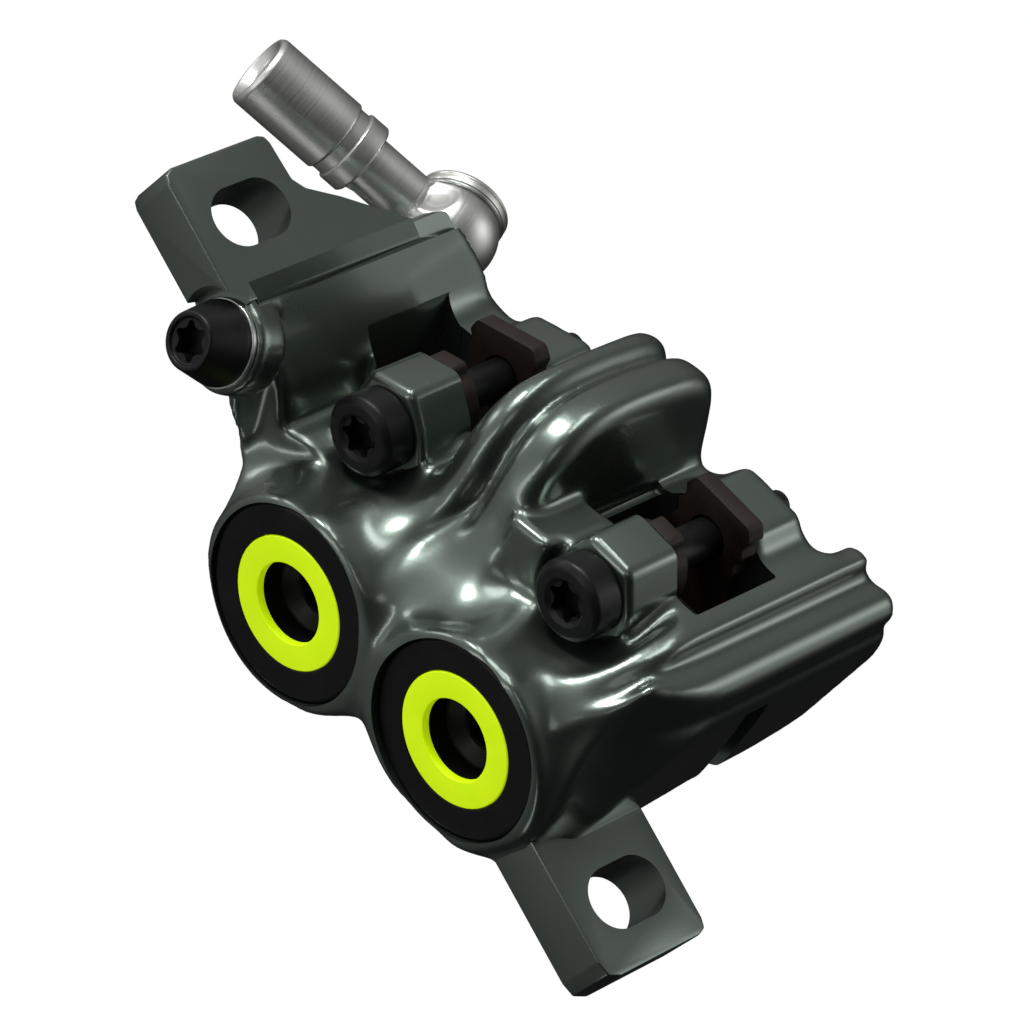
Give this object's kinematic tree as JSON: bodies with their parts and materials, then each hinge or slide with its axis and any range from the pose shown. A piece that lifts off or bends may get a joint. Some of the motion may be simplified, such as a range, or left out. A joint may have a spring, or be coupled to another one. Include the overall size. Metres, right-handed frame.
{
  "type": "bicycle disc brake caliper",
  "caption": "Forged disc brake caliper with opposed pistons, top-loading pads held by cross screws, slotted post-mount ears, bleed screw and turning banjo hose fitting.",
  "frame": {"origin": "centre of the pair of mounting slots on the mounting plane under the ears", "axes": "+X along the slot line to the lower ear, +Y inboard through the rotor, +Z out along the mounting bolts"},
  "size_m": [0.0975, 0.047, 0.0435],
  "materials": {
    "forged_body": "satin anodised dark grey-green",
    "black_cap": "satin black",
    "neon_ring": "bright yellow-green",
    "seal_rubber": "matt",
    "piston": "ground",
    "magnet": "nickel plated",
    "pad_plate": "brown coated steel",
    "pad_lining": "sintered friction material",
    "black_screw": "satin black",
    "sealing_ring": "bare",
    "bright_steel": "turned",
    "brass": "turned"
  },
  "bodies": {
    "caliper": {"caliper_body": "forged_body", "bore_cap_upper": "black_cap", "bore_cap_lower": "black_cap", "cap_ring_upper": "neon_ring", "cap_ring_lower": "neon_ring", "cap_seals": "seal_rubber", "piston_seals": "seal_rubber", "bleed_seal": "sealing_ring", "banjo_bolt": "bright_steel", "banjo_washer_head": "sealing_ring", "banjo_washer_seat": "sealing_ring"},
    "bleed_valve": {"bleed_screw": "black_screw"},
    "screw_upper": {"pad_screw_upper": "black_screw"},
    "screw_lower": {"pad_screw_lower": "black_screw"},
    "fitting": {"banjo_eye": "bright_steel", "hose_sleeve": "bright_steel", "hose_insert": "brass"},
    "pad_out_upper": {"piston_out_upper": "piston", "magnet_out_upper": "magnet", "plate_out_upper": "pad_plate", "lining_out_upper": "pad_lining"},
    "pad_out_lower": {"piston_out_lower": "piston", "magnet_out_lower": "magnet", "plate_out_lower": "pad_plate", "lining_out_lower": "pad_lining"},
    "pad_in_upper": {"piston_in_upper": "piston", "magnet_in_upper": "magnet", "plate_in_upper": "pad_plate", "lining_in_upper": "pad_lining"},
    "pad_in_lower": {"piston_in_lower": "piston", "magnet_in_lower": "magnet", "plate_in_lower": "pad_plate", "lining_in_lower": "pad_lining"}
  },
  "joints": [
    {"name": "pad_out_upper_slide", "type": "slide", "parent": "caliper", "child": "pad_out_upper", "axis": [0, 1, 0], "range_m": [0, 0.0011]},
    {"name": "pad_out_lower_slide", "type": "slide", "parent": "caliper", "child": "pad_out_lower", "axis": [0, 1, 0], "range_m": [0, 0.0011]},
    {"name": "pad_in_upper_slide", "type": "slide", "parent": "caliper", "child": "pad_in_upper", "axis": [0, -1, 0], "range_m": [0, 0.0011]},
    {"name": "pad_in_lower_slide", "type": "slide", "parent": "caliper", "child": "pad_in_lower", "axis": [0, -1, 0], "range_m": [0, 0.0011]},
    {"name": "screw_upper_slide", "type": "slide", "parent": "caliper", "child": "screw_upper", "axis": [0, -1, 0], "range_m": [0, 0.031]},
    {"name": "screw_lower_slide", "type": "slide", "parent": "caliper", "child": "screw_lower", "axis": [0, -1, 0], "range_m": [0, 0.031]},
    {"name": "bleed_turn", "type": "hinge", "parent": "caliper", "child": "bleed_valve", "pos_m": [-0.02711, -0.0073, 0.00169], "axis": [-0.2464, -0.9361, 0.251], "range_deg": [0, 90]},
    {"name": "fitting_turn", "type": "hinge", "parent": "caliper", "child": "fitting", "pos_m": [-0.02958, 0.0278, -0.00178], "axis": [-0.4774, 0.8773, 0.0504], "range_deg": [-12, 12]}
  ],
  "couplings": [
    {"joint": "pad_out_lower_slide", "follows": "pad_out_upper_slide", "ratio": 1},
    {"joint": "pad_in_upper_slide", "follows": "pad_out_upper_slide", "ratio": 1},
    {"joint": "pad_in_lower_slide", "follows": "pad_out_upper_slide", "ratio": 1}
  ]
}
